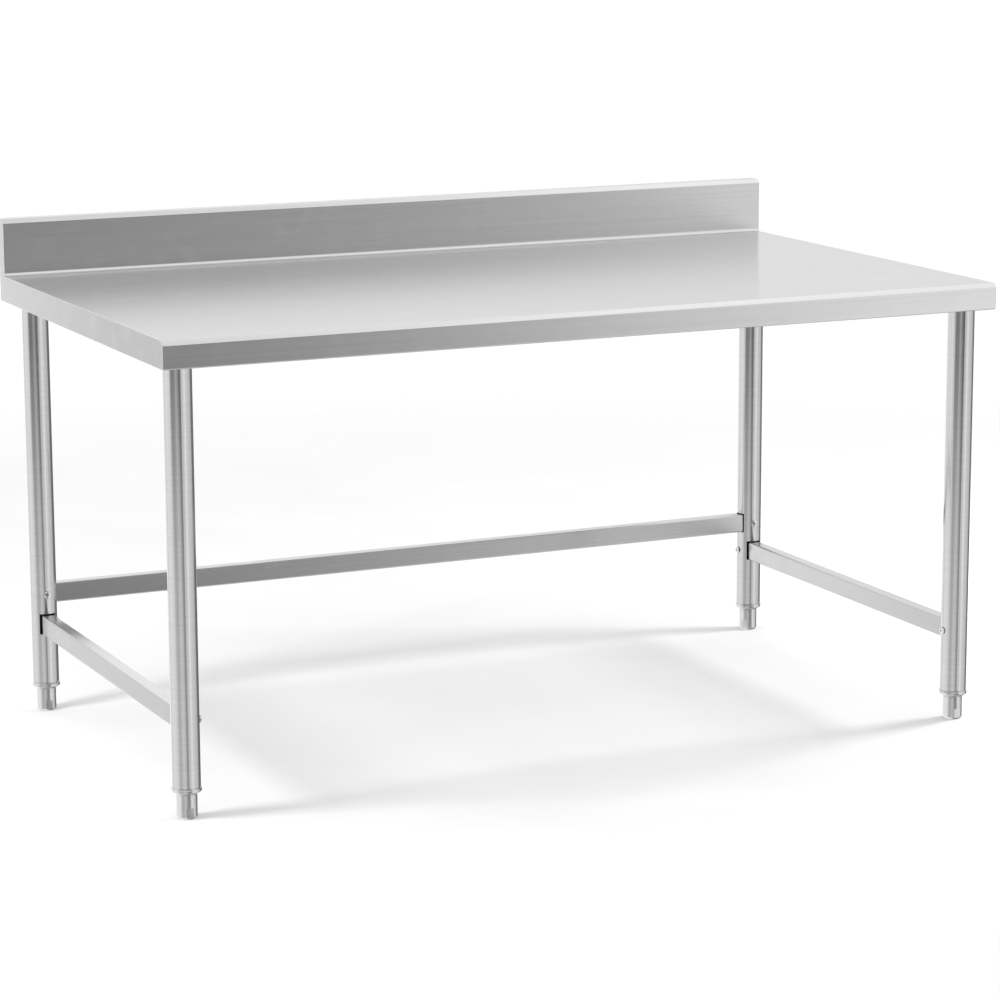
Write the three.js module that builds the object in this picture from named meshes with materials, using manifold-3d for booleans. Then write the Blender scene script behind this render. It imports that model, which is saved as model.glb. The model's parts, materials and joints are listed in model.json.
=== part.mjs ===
// Stainless steel work table with a raised back edge (splashback), on four round legs with
// screw-adjusted feet. Millimetres: +X runs along the table, +Y to its back, +Z up, floor at z = 0.
import * as THREE from 'three';
import { mergeVertices } from 'three/addons/utils/BufferGeometryUtils.js';
import Module from 'manifold-3d';

// ---------------------------------------------------------------- driving dimensions

// worktop
const tableLength = 1650;
const tableDepth = 950;
const tableHeight = 850; // floor to the upper face of the worktop
const splashRise = 110; // worktop to the top of the splashback
const splashDepth = 28;
const apronHeight = 50;
const sheet = 1.5;
const foldBevel = 8; // 45 degree fold along the front edge and along the top of the splashback
const coveRadius = 8; // between the worktop and the splashback
const hemWidth = 12; // flange turned in under the aprons

// stiffening channels under the worktop
const channelHeight = 15;
const channelCrown = 54;
const channelLip = 12;
const channelSheet = 1.5;
const channelClearance = 2.5; // channel to the inside of an apron
const channelEndClearance = 4;

// leg sockets
const socketFlange = 76;
const socketPlate = 3;
const socketDepth = 28;
const socketWall = 2.5;
const grubRadius = 4;
const grubLength = 8;
const grubKey = 4; // across the flats of its hexagon
const grubKeyDepth = 4;
const grubChamfer = 1;

// legs
const legRadius = 25.4;
const legWall = 1.5;
const legSetback = 52; // leg axis to the front edge, and to the face of the splashback

// stretchers, rectangular tube
const stretcherWidth = 25;
const stretcherHeight = 38;
const stretcherWall = 1.5;
const stretcherCorner = 3;
const stretcherReach = 18; // how far an end passes the axis of its leg
const sideStretcherZ = 175; // centre height
const backStretcherZ = 234;
const slotSideClearance = 3;
const slotTopClearance = 3.5;

// screws that hold the stretchers
const screwRadius = 3;
const screwHeadRadius = 7;
const screwHeadHeight = 4;
const screwGrip = 4.5; // how far the shank passes the face of the stretcher
const screwTipChamfer = 0.8;
const screwCrown = 1.6; // height of the domed part of the head
const screwRecess = { length: 7.6, width: 1.5, depth: 2 };

// feet
const footHeight = 45; // the cup that stands on the floor
const footRadius = 18.5;
const footChamfer = 4;
const footFlatOffset = 17.3; // axis to each wrench flat
const footFlatTop = 21;
const footFloor = 10; // metal under the stud
const studRadius = 8;
const studLength = 78;
const collarRim = 1.4; // how far the collar stands out past the leg
const collarCone = 4.7;
const collarRimHeight = 6;
const shoulderHeight = 1.5; // set-back step between the collar and the end of the leg
const shoulderSetback = 0.7;
const plugLength = 38;
const footEdgeBreak = 1;
const studChamfer = 1.5;
const footTurns = { front_left: 0, front_right: 0, back_left: 0, back_right: -55 }; // degrees

const gap = 0.3; // between separate pieces that touch
const overcut = 1; // how far a cutting tool runs past the surface it cuts
const roundSegments = 28;
const legSegments = 32;
const smallSegments = 16;

// ---------------------------------------------------------------- places that follow

const xEnd = tableLength / 2;
const yFront = -tableDepth / 2;
const yBack = tableDepth / 2;
const ySplash = yBack - splashDepth;
const zApron = tableHeight - apronHeight;
const zSplash = tableHeight + splashRise;

const channelWidth = channelCrown + 2 * channelLip;
const zChannelTop = tableHeight - sheet - gap;
const zChannelCrown = zChannelTop - channelHeight;
const zFlangeTop = zChannelCrown - gap;
const zFlangeBottom = zFlangeTop - socketPlate;

const legX = xEnd - sheet - channelClearance - channelWidth / 2;
const legFrontY = yFront + legSetback;
const legBackY = ySplash - legSetback;
const zCollarBottom = footHeight + gap;
const zCollarTop = zCollarBottom + collarCone + collarRimHeight;
const zLegBottom = zCollarTop + shoulderHeight + gap;
const zLegTop = zFlangeBottom - gap;
const plugRadius = legRadius - legWall - gap;
const grubZ = zFlangeBottom - socketDepth / 2;

const corners = [
  { name: 'front_left', sx: -1, back: false },
  { name: 'front_right', sx: 1, back: false },
  { name: 'back_left', sx: -1, back: true },
  { name: 'back_right', sx: 1, back: true },
].map((corner) => ({ ...corner, x: corner.sx * legX, y: corner.back ? legBackY : legFrontY }));

// ---------------------------------------------------------------- geometry helpers

const wasm = await Module();
wasm.setup();

/** The geometry with shared vertices merged and collapsed triangles dropped. */
function welded(geometry) {
  const bare = geometry.clone();
  bare.deleteAttribute('normal');
  bare.deleteAttribute('uv');
  const merged = mergeVertices(bare, 1e-4);
  const kept = [];
  for (let i = 0; i < merged.index.count; i += 3) {
    const [a, b, c] = [0, 1, 2].map((k) => merged.index.getX(i + k));
    if (a !== b && b !== c && c !== a) kept.push(a, b, c);
  }
  merged.setIndex(kept);
  return merged;
}

function toSolid(geometry) {
  const closed = welded(geometry);
  return new wasm.Manifold(new wasm.Mesh({
    numProp: 3,
    vertProperties: closed.attributes.position.array,
    triVerts: Uint32Array.from(closed.index.array),
  }));
}

function toGeometry(solid) {
  const mesh = solid.getMesh();
  const geometry = new THREE.BufferGeometry();
  geometry.setAttribute('position', new THREE.BufferAttribute(mesh.vertProperties, 3));
  geometry.setIndex(new THREE.BufferAttribute(mesh.triVerts, 1));
  return geometry;
}

function join(...geometries) {
  return toGeometry(geometries.map(toSolid).reduce((all, one) => all.add(one)));
}

function cut(body, ...tools) {
  return toGeometry(tools.map(toSolid).reduce((left, tool) => left.subtract(tool), toSolid(body)));
}

/** A box between two corners. */
function boxBetween([x0, y0, z0], [x1, y1, z1]) {
  const box = new THREE.BoxGeometry(x1 - x0, y1 - y0, z1 - z0);
  return box.translate((x0 + x1) / 2, (y0 + y1) / 2, (z0 + z1) / 2);
}

/** A solid of revolution about Z, from [radius, z] points that run upwards outside. */
function turned(profile, segments = roundSegments) {
  const points = profile.map(([radius, z]) => new THREE.Vector2(radius, z));
  return new THREE.LatheGeometry(points, segments).rotateX(Math.PI / 2);
}

/** A cylinder along Z from z0 to z1. */
function pin(radius, z0, z1, segments = roundSegments) {
  return turned([[0, z0], [radius, z0], [radius, z1], [0, z1]], segments);
}

/** Turns a shape made along Z to point along X or Y instead, keeping +Z as the given direction. */
function pointing(geometry, axis, sign = 1) {
  const target = axis === 'x' ? new THREE.Vector3(sign, 0, 0) : new THREE.Vector3(0, sign, 0);
  const turn = new THREE.Quaternion().setFromUnitVectors(new THREE.Vector3(0, 0, 1), target);
  return geometry.applyQuaternion(turn);
}

/** Extrudes an outline given as [y, z] points along X, from x0 to x1. */
function extrudedAlongX(outline, x0, x1) {
  const shape = new THREE.Shape(outline.map(([y, z]) => new THREE.Vector2(y, z)));
  const solid = new THREE.ExtrudeGeometry(shape, { depth: x1 - x0, bevelEnabled: false });
  const axes = new THREE.Matrix4().makeBasis(
    new THREE.Vector3(0, 1, 0), new THREE.Vector3(0, 0, 1), new THREE.Vector3(1, 0, 0));
  return solid.applyMatrix4(axes).translate(x0, 0, 0);
}

/** The outline of sheet metal that follows an open path of outer-face points, on its right side. */
function foldedStrip(path, thickness) {
  const points = path.map(([u, v]) => new THREE.Vector2(u, v));
  const directions = points.slice(1).map((point, i) => point.clone().sub(points[i]).normalize());
  const inner = points.map((point, i) => {
    const before = directions[Math.max(i - 1, 0)];
    const after = directions[Math.min(i, directions.length - 1)];
    const normalBefore = new THREE.Vector2(before.y, -before.x);
    const normalAfter = new THREE.Vector2(after.y, -after.x);
    const middle = normalBefore.clone().add(normalAfter).normalize();
    return point.clone().addScaledVector(middle, thickness / middle.dot(normalAfter));
  });
  return [...points, ...inner.reverse()].map((point) => [point.x, point.y]);
}

/** Points of an arc between two angles in degrees, ends included. */
function arc([u, v], radius, from, to, steps = 6) {
  return Array.from({ length: steps + 1 }, (_, i) => {
    const angle = THREE.MathUtils.degToRad(from + ((to - from) * i) / steps);
    return [u + radius * Math.cos(angle), v + radius * Math.sin(angle)];
  });
}

const table = new THREE.Group();

function add(name, geometry, { color = 0xc8cacc, roughness = 0.32, metalness = 1 } = {}) {
  const mesh = new THREE.Mesh(geometry, new THREE.MeshStandardMaterial({ color, roughness, metalness }));
  mesh.name = name;
  table.add(mesh);
  return mesh;
}

// ---------------------------------------------------------------- worktop

/** One folded and welded sheet: worktop, aprons with hems, splashback with its closed back. */
function worktopSheet() {
  const coveCentre = [ySplash - coveRadius, tableHeight + coveRadius];
  const path = [
    [yFront + hemWidth, zApron],
    [yFront, zApron],
    [yFront, tableHeight - foldBevel],
    [yFront + foldBevel, tableHeight],
    ...arc(coveCentre, coveRadius, -90, 0),
    [ySplash, zSplash - foldBevel],
    [ySplash + foldBevel, zSplash],
    [yBack, zSplash],
    [yBack, zApron],
    [yBack - hemWidth, zApron],
  ];
  const side = [
    [yFront, zApron],
    [yFront, tableHeight - foldBevel],
    [yFront + foldBevel, tableHeight],
    [yBack, tableHeight],
    [yBack, zApron],
  ];
  const sides = [-1, 1].flatMap((sx) => {
    const [outer, inner, hem] = [sx * xEnd, sx * (xEnd - sheet), sx * (xEnd - hemWidth)];
    return [
      extrudedAlongX(side, Math.min(outer, inner), Math.max(outer, inner)),
      boxBetween([Math.min(outer, hem), yFront, zApron], [Math.max(outer, hem), yBack, zApron + sheet]),
    ];
  });
  return join(extrudedAlongX(foldedStrip(path, sheet), -xEnd, xEnd), ...sides);
}

/** The plate that closes one end of the hollow splashback, inside its folds. */
function splashEndCap(sx) {
  const inset = sheet + gap;
  const chamferShift = inset * Math.tan(Math.PI / 8);
  const coveCentre = [ySplash - coveRadius, tableHeight + coveRadius];
  const coveOuter = coveRadius + inset;
  const startAngle = -THREE.MathUtils.radToDeg(Math.asin((coveRadius - gap) / coveOuter));
  const outline = [
    [yBack - inset, tableHeight + gap],
    ...arc(coveCentre, coveOuter, startAngle, 0),
    [ySplash + inset, zSplash - foldBevel - chamferShift],
    [ySplash + foldBevel + chamferShift, zSplash - inset],
    [yBack - inset, zSplash - inset],
  ];
  const x0 = sx > 0 ? xEnd - sheet : -xEnd;
  return extrudedAlongX(outline.reverse(), x0, x0 + sheet);
}

add('worktop_sheet', worktopSheet());
add('splash_end_cap_left', splashEndCap(-1));
add('splash_end_cap_right', splashEndCap(1));

// ---------------------------------------------------------------- channels under the worktop

/** A hat-section channel along X, crown down, its lips under the worktop. */
function hatChannel(length) {
  const half = channelCrown / 2;
  const path = [
    [-half - channelLip, zChannelTop],
    [-half, zChannelTop],
    [-half, zChannelCrown + channelSheet],
    [half, zChannelCrown + channelSheet],
    [half, zChannelTop],
    [half + channelLip, zChannelTop],
  ];
  return extrudedAlongX(foldedStrip(path, channelSheet), -length / 2, length / 2);
}

const crossFront = yFront + foldBevel + channelEndClearance;
const crossBack = ySplash - coveRadius - channelEndClearance;
for (const [side, sx] of [['left', -1], ['right', 1]]) {
  const channel = add(`cross_channel_${side}`, hatChannel(crossBack - crossFront));
  channel.rotation.z = Math.PI / 2;
  channel.position.set(sx * legX, (crossFront + crossBack) / 2, 0);
}
add('centre_channel', hatChannel(2 * (legX - channelWidth / 2 - gap))).position.y =
  (legFrontY + legBackY) / 2;

// ---------------------------------------------------------------- legs and their sockets

/** A flanged cup that takes the top of a leg, tapped for a set screw on the side given by sx. */
function legSocket(sx) {
  const bore = legRadius + gap;
  const outer = bore + socketWall;
  const half = socketFlange / 2;
  const cup = pin(outer, zFlangeBottom - socketDepth, zFlangeTop, legSegments);
  const flange = boxBetween([-half, -half, zFlangeBottom], [half, half, zFlangeTop]);
  const mouth = pin(bore, zFlangeBottom - socketDepth - overcut, zFlangeBottom, legSegments);
  const hole = pointing(pin(grubRadius + gap, 0, outer + overcut), 'x', -sx);
  return cut(join(cup, flange), mouth, hole.translate(0, 0, grubZ));
}

/** A set screw with a hexagon socket, pointing away from the leg on the side given by sx. */
function grubScrew(sx) {
  const start = legRadius + gap;
  const end = start + grubLength;
  const body = turned([
    [0, start], [grubRadius - grubChamfer, start], [grubRadius, start + grubChamfer],
    [grubRadius, end - grubChamfer / 2], [grubRadius - grubChamfer / 2, end], [0, end],
  ], smallSegments);
  const key = pin(grubKey / Math.sqrt(3), end - grubKeyDepth, end + overcut, 6);
  return pointing(cut(body, key), 'x', -sx).translate(0, 0, grubZ);
}

/** A tube with a slot for each stretcher and a clear hole for each stretcher screw. */
function leg({ sx, back }) {
  const tube = turned([
    [legRadius - legWall, zLegBottom], [legRadius, zLegBottom],
    [legRadius, zLegTop], [legRadius - legWall, zLegTop], [legRadius - legWall, zLegBottom],
  ], legSegments);
  const slotHalf = stretcherWidth / 2 + slotSideClearance;
  const past = legRadius + overcut;
  const slotBottom = -stretcherHeight / 2 - gap;
  const slotTop = stretcherHeight / 2 + slotTopClearance;
  const inwardsY = back ? -1 : 1;
  const sideSlot = boxBetween(
    [-slotHalf, Math.min(0, inwardsY * past), sideStretcherZ + slotBottom],
    [slotHalf, Math.max(0, inwardsY * past), sideStretcherZ + slotTop]);
  const screwHole = (axis, sign, z) => (
    pointing(pin(screwRadius + gap, 0, past, smallSegments), axis, sign).translate(0, 0, z));
  const tools = [sideSlot, screwHole('x', -sx, sideStretcherZ)];
  if (back) {
    const backSlot = boxBetween(
      [Math.min(0, -sx * past), -slotHalf, backStretcherZ + slotBottom],
      [Math.max(0, -sx * past), slotHalf, backStretcherZ + slotTop]);
    tools.push(backSlot, screwHole('y', -1, backStretcherZ));
  }
  return cut(tube, ...tools);
}

for (const corner of corners) {
  const { name, sx, x, y } = corner;
  add(`leg_${name}`, leg(corner)).position.set(x, y, 0);
  add(`leg_socket_${name}`, legSocket(sx), { roughness: 0.45 }).position.set(x, y, 0);
  add(`set_screw_${name}`, grubScrew(sx), { color: 0x9a9c9e }).position.set(x, y, 0);
}

// ---------------------------------------------------------------- stretchers and their screws

/** A rounded rectangle, as a shape or as a hole in one. */
function roundedRectangle(Kind, width, height, radius) {
  const [u, v] = [width / 2 - radius, height / 2 - radius];
  const turns = [[u, v, 0], [-u, v, 90], [-u, -v, 180], [u, -v, 270]];
  const outline = turns.flatMap(([cu, cv, from]) => arc([cu, cv], radius, from, from + 90, 3));
  return new Kind(outline.map(([a, b]) => new THREE.Vector2(a, b)));
}

/** Rectangular tube along X, with a tapped hole near each end in its -Y face. */
function stretcher(span) {
  const length = span + 2 * stretcherReach;
  const section = roundedRectangle(THREE.Shape, stretcherWidth, stretcherHeight, stretcherCorner);
  section.holes.push(roundedRectangle(THREE.Path, stretcherWidth - 2 * stretcherWall,
    stretcherHeight - 2 * stretcherWall, stretcherCorner - stretcherWall));
  const tube = new THREE.ExtrudeGeometry(section, { depth: length, bevelEnabled: false });
  const axes = new THREE.Matrix4().makeBasis(
    new THREE.Vector3(0, 1, 0), new THREE.Vector3(0, 0, 1), new THREE.Vector3(1, 0, 0));
  tube.applyMatrix4(axes).translate(-length / 2, 0, 0);
  const holes = [-1, 1].map((end) => (
    pointing(pin(screwRadius + gap, 0, stretcherWidth / 2 + overcut, smallSegments), 'y', -1)
      .translate((end * span) / 2, 0, 0)));
  return cut(tube, ...holes);
}

/** A pan-head screw with a cross recess. Its head stands at the leg's surface, its shank on -Z. */
function stretcherScrew() {
  const seat = legRadius + gap;
  const top = seat + screwHeadHeight;
  const rim = top - screwCrown;
  const tip = stretcherWidth / 2 - screwGrip;
  const dome = arc([0, 0], 1, 0, 90, 3).slice(1, -1)
    .map(([u, v]) => [u * screwHeadRadius, rim + v * screwCrown]);
  const body = turned([
    [0, tip], [screwRadius - screwTipChamfer, tip], [screwRadius, tip + screwTipChamfer],
    [screwRadius, seat], [screwHeadRadius, seat], [screwHeadRadius, rim], ...dome, [0, top],
  ], smallSegments);
  const { length, width, depth } = screwRecess;
  const slots = [[length, width], [width, length]].map(([a, b]) => (
    boxBetween([-a / 2, -b / 2, top - depth], [a / 2, b / 2, top + overcut])));
  return cut(body, ...slots);
}

for (const [side, sx] of [['left', -1], ['right', 1]]) {
  const tube = add(`side_stretcher_${side}`, stretcher(legBackY - legFrontY));
  tube.rotation.z = (-sx * Math.PI) / 2; // turns the tapped face towards the inside of the table
  tube.position.set(sx * legX, (legFrontY + legBackY) / 2, sideStretcherZ);
}
add('back_stretcher', stretcher(2 * legX)).position.set(0, legBackY, backStretcherZ);

for (const { name, sx, back, x, y } of corners) {
  add(`side_screw_${name}`, pointing(stretcherScrew(), 'x', -sx)).position.set(x, y, sideStretcherZ);
  if (back) {
    add(`back_screw_${name}`, pointing(stretcherScrew(), 'y', -1)).position.set(x, y, backStretcherZ);
  }
}

// ---------------------------------------------------------------- feet

/** The plug in the end of a leg, with the collar under the tube and a bore for the stud. */
function footInsert() {
  const bore = studRadius + gap;
  const rim = legRadius + collarRim;
  const zRim = zCollarBottom + collarCone;
  const zShoulder = zCollarTop + shoulderHeight;
  const zPlug = zShoulder + plugLength;
  return turned([
    [bore, zCollarBottom], [footRadius + 2 * footEdgeBreak, zCollarBottom], [rim, zRim],
    [rim, zCollarTop - footEdgeBreak], [rim - footEdgeBreak, zCollarTop],
    [legRadius - shoulderSetback, zCollarTop], [legRadius - shoulderSetback, zShoulder],
    [plugRadius, zShoulder], [plugRadius, zPlug - footEdgeBreak],
    [plugRadius - footEdgeBreak, zPlug], [bore, zPlug], [bore, zCollarBottom],
  ]);
}

/** The threaded stud that screws into the plug and carries the cup on its lower end. */
function footStud() {
  const zStart = footFloor + gap;
  const zEnd = zStart + studLength;
  return turned([
    [0, zStart], [studRadius - studChamfer, zStart], [studRadius, zStart + studChamfer],
    [studRadius, zEnd - studChamfer], [studRadius - studChamfer, zEnd], [0, zEnd],
  ], smallSegments);
}

/** The cup that stands on the floor, with two wrench flats. */
function footCup() {
  const bore = studRadius + gap;
  const cup = turned([
    [0, 0], [footRadius - footChamfer, 0], [footRadius, footChamfer],
    [footRadius, footHeight - footEdgeBreak], [footRadius - footEdgeBreak, footHeight],
    [bore, footHeight], [bore, footFloor], [0, footFloor],
  ]);
  const past = footRadius + overcut;
  const flats = [-1, 1].map((sy) => boxBetween(
    [-past, Math.min(sy * footFlatOffset, sy * past), -overcut],
    [past, Math.max(sy * footFlatOffset, sy * past), footFlatTop]));
  return cut(cup, ...flats);
}

for (const { name, x, y } of corners) {
  add(`foot_insert_${name}`, footInsert(), { roughness: 0.4 }).position.set(x, y, 0);
  add(`foot_stud_${name}`, footStud(), { color: 0xa9abad, roughness: 0.4 }).position.set(x, y, 0);
  const cup = add(`foot_cup_${name}`, footCup(), { roughness: 0.4 });
  cup.rotation.z = THREE.MathUtils.degToRad(footTurns[name]);
  cup.position.set(x, y, 0);
}

export default table;
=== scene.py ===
import json
import math

import bmesh
import bpy
from mathutils import Matrix, Vector

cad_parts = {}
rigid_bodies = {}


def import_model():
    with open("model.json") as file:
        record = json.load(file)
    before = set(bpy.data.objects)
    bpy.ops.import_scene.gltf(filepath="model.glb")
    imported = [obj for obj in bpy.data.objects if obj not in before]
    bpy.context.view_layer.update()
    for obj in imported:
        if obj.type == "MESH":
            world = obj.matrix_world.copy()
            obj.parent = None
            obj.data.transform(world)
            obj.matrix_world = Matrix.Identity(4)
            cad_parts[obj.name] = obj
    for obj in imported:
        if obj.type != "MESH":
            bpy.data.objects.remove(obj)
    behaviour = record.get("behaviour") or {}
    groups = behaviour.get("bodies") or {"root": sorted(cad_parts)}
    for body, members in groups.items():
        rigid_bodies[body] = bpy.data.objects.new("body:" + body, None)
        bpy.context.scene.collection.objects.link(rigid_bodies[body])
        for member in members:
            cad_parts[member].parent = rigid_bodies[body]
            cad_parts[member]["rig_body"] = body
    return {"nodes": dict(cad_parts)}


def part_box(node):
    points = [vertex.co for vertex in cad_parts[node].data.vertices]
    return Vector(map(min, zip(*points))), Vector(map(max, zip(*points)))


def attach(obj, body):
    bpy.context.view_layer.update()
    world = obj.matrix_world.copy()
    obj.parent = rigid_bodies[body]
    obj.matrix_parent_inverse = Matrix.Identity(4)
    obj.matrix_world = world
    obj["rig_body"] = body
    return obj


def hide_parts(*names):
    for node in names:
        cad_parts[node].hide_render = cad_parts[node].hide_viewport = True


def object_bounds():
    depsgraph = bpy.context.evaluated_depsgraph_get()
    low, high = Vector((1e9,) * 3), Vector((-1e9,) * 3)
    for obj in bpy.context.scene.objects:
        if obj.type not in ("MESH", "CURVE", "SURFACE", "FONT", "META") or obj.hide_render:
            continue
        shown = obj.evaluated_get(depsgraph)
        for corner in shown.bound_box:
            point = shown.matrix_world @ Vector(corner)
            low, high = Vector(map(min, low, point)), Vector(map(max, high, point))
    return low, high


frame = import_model()
cad_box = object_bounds()

# ---------------------------------------------------------------- sizes, in metres

MM = 0.001
CORNERS = ("front_left", "front_right", "back_left", "back_right")
GAP = 0.3 * MM  # between CAD solids that touch

SHEET = 1.5 * MM
FOLD_BEVEL = 8 * MM
COVE_RADIUS = 8 * MM
BEND_RADIUS = 2.6 * MM  # outside of a bend in the sheet
HEM_WIDTH = 12 * MM
GROUND_EDGE = 1.1 * MM  # rounding of a welded and ground edge
FINE_EDGE = 0.35 * MM
MERGE = 1e-7  # points closer than this are one

CHANNEL_CROWN = 54 * MM
CHANNEL_BEND = 2.2 * MM

LEG_WALL = 1.5 * MM
SOCKET_PLATE = 3 * MM
SOCKET_WALL = 2.5 * MM
SOCKET_CORNER = 6 * MM
SOCKET_WELD = 3 * MM
STRETCHER_WALL = 1.5 * MM
STRETCHER_CORNER = 3 * MM
SLOT_SIDE = 3 * MM
SLOT_TOP = 2.0 * MM
SLOT_CORNER = 1.2 * MM

SCREW_RADIUS = 3 * MM
SCREW_HEAD = 7 * MM
SCREW_HEAD_HEIGHT = 4 * MM
SCREW_CROWN = 1.9 * MM
SCREW_TIP = 0.8 * MM
CROSS_FLOOR = (2.2 * MM, 1.6 * MM, 0.5 * MM)  # depth of the recess, half length and half width of an arm
CROSS_MOUTH = (-1 * MM, 4.4 * MM, 1.0 * MM)  # the same a little above the head
CROSS_TURNS = (20, 110)  # degrees
GRUB_RADIUS = 4 * MM
GRUB_PITCH = 1.25 * MM
GRUB_KEY = 4 * MM
GRUB_CHAMFER = 1 * MM
STUD_RADIUS = 8 * MM
STUD_PITCH = 2 * MM
STUD_CHAMFER = 1.5 * MM
THREAD_DEPTH = 0.61  # share of the pitch

COLLAR_CONE = 4.7 * MM
COLLAR_LIP = 1.5 * MM  # between the cup's side and the cone
COLLAR_EDGE = 1.2 * MM
COLLAR_TOP_EDGE = 1.3 * MM
SHOULDER_EDGE = 0.15 * MM
TURNED_EDGE = 1 * MM
SHOULDER_HEIGHT = 1.8 * MM
SHOULDER_SETBACK = 1.4 * MM
FOOT_CHAMFER = 4 * MM
FOOT_FLAT_OFFSET = 17.3 * MM
FOOT_FLAT_TOP = 21 * MM
FOOT_FLOOR = 10 * MM
FOOT_EDGE = 1.5 * MM
FOOT_RIM = 1.2 * MM
FOOT_BORE_EDGE = 0.4 * MM
FOOT_FLAT_CORNER = 0.2 * MM
FOOT_TURNS = {"back_right": -55}  # degrees, for a foot that was left turned

ROUND_STEPS = 96
SMALL_STEPS = 48


def box_of(node):
    """Lowest corner, highest corner and centre of a CAD node."""
    low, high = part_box(node)
    return low, high, (low + high) / 2


# ---------------------------------------------------------------- outlines

def filleted(corners, steps=5):
    """Points of an open path given as (u, v, radius), with an arc at each corner that has a radius."""
    points = []
    for i, (u, v, radius) in enumerate(corners):
        here = Vector((u, v))
        if radius == 0 or i in (0, len(corners) - 1):
            points.append(here)
            continue
        before = (Vector(corners[i - 1][:2]) - here).normalized()
        after = (Vector(corners[i + 1][:2]) - here).normalized()
        half = before.angle(after) / 2
        middle = here + (before + after).normalized() * (radius / math.sin(half))
        start = here + before * (radius / math.tan(half)) - middle
        end = here + after * (radius / math.tan(half)) - middle
        turn = start.angle_signed(end)
        for k in range(steps + 1):
            points.append(middle + Matrix.Rotation(-turn * k / steps, 2) @ start)
    return points


def closed_fillet(corners, steps=5):
    """A closed outline with every corner rounded as its third value says."""
    (u0, v0, _), (u1, v1, _) = corners[0], corners[-1]
    seam = ((u0 + u1) / 2, (v0 + v1) / 2, 0)
    return filleted([seam, *corners, seam], steps)[:-1]


def offset(points, distance, closed=False):
    """The path moved by a distance to its right side, with mitred corners."""
    count = len(points)
    moved = []
    for i, point in enumerate(points):
        before = point - points[i - 1] if closed or i > 0 else None
        after = points[(i + 1) % count] - point if closed or i < count - 1 else None
        normals = [Vector((d.y, -d.x)).normalized() for d in (before, after) if d is not None]
        middle = sum(normals, Vector((0, 0))).normalized()
        moved.append(point + middle * (distance / middle.dot(normals[0])))
    return moved


def folded(path, thickness):
    """The closed outline of sheet metal whose outer face follows an open path."""
    return [*path, *reversed(offset(path, thickness))]


def rounded_rectangle(width, height, radius, steps=5):
    """A closed outline round the origin."""
    u, v = width / 2, height / 2
    return closed_fillet([(-u, -v, radius), (u, -v, radius), (u, v, radius), (-u, v, radius)], steps)


def area(outline):
    """The area inside an outline, negative where it runs clockwise."""
    pairs = zip(outline, [*outline[1:], outline[0]])
    return sum(a.x * b.y - b.x * a.y for a, b in pairs) / 2


# ---------------------------------------------------------------- solids

def loft(bm, rings, cyclic=False):
    """Skins closed rings of points one after another, with a flat cap at both ends unless cyclic."""
    rows = [[bm.verts.new(point) for point in ring] for ring in rings]
    following = [*rows[1:], rows[0]] if cyclic else rows[1:]
    for low, high in zip(rows, following):
        for i in range(len(low)):
            k = (i + 1) % len(low)
            bm.faces.new((low[i], low[k], high[k], high[i]))
    if not cyclic:
        bm.faces.new(list(reversed(rows[0])))
        bm.faces.new(rows[-1])


def extruded(bm, outline, start, end, edge=0.0, steps=3, axes=("y", "z", "x")):
    """An outline extruded along the third axis, with its end edges rounded by a radius."""
    if area(outline) < 0:
        outline = outline[::-1]
    places = []
    for k in range(steps + 1 if edge else 1):
        angle = math.pi / 2 * k / steps
        places.append((edge * (1 - math.sin(angle)), edge * (1 - math.cos(angle))))
    order = ["xyz".index(axis) for axis in axes]

    def ring(place, inset):
        points = []
        for point in offset(outline, -inset, closed=True) if inset else outline:
            spot = [0, 0, 0]
            spot[order[0]], spot[order[1]], spot[order[2]] = point.x, point.y, place
            points.append(spot)
        return points

    first = [ring(start + back, inset) for back, inset in reversed(places)]
    last = [ring(end - back, inset) for back, inset in places]
    loft(bm, [*first, *last])


def turned(bm, profile, segments=ROUND_STEPS, cyclic=False):
    """A solid of revolution about Z through (radius, z) points, closed on itself where cyclic."""
    rings = []
    for radius, z in profile:
        angles = [2 * math.pi * i / segments for i in range(segments)]
        rings.append([(radius * math.cos(a), radius * math.sin(a), z) for a in angles])
    loft(bm, rings, cyclic)


def threaded(bm, radius, pitch, low, high, chamfer, segments=SMALL_STEPS):
    """A rod along Z with a real helical thread that runs out in a chamfer at both ends."""
    root = radius - THREAD_DEPTH * pitch
    profile = (root, root, radius, radius)
    rows_per_turn = len(profile)
    rows = round((high - low) / pitch + 3) * rows_per_turn
    columns = []
    for i in range(segments):
        column = []
        for j in range(rows + 1):
            z = low + (j / rows_per_turn + i / segments - 1.5) * pitch
            z = min(max(z, low), high)
            limit = radius - chamfer + min(z - low, high - z)
            r = min(profile[j % rows_per_turn], limit)
            angle = 2 * math.pi * i / segments
            column.append(bm.verts.new((r * math.cos(angle), r * math.sin(angle), z)))
        columns.append(column)
    for i in range(segments):
        here = columns[i]
        there = columns[(i + 1) % segments]
        shift = rows_per_turn if i == segments - 1 else 0
        for j in range(rows - shift):
            quad = (here[j], there[j + shift], there[j + shift + 1], here[j + 1])
            bm.faces.new(quad)
    bmesh.ops.remove_doubles(bm, verts=bm.verts, dist=MERGE)
    bmesh.ops.dissolve_degenerate(bm, edges=bm.edges, dist=MERGE)
    bmesh.ops.holes_fill(bm, edges=bm.edges)


def moved(bm, matrix):
    """The same mesh, put where the matrix says."""
    bmesh.ops.transform(bm, matrix=matrix, verts=bm.verts)
    return bm


def pointing(axis):
    """The rotation that turns +Z towards an axis given as a vector."""
    return Vector((0, 0, 1)).rotation_difference(Vector(axis)).to_matrix().to_4x4()


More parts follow.
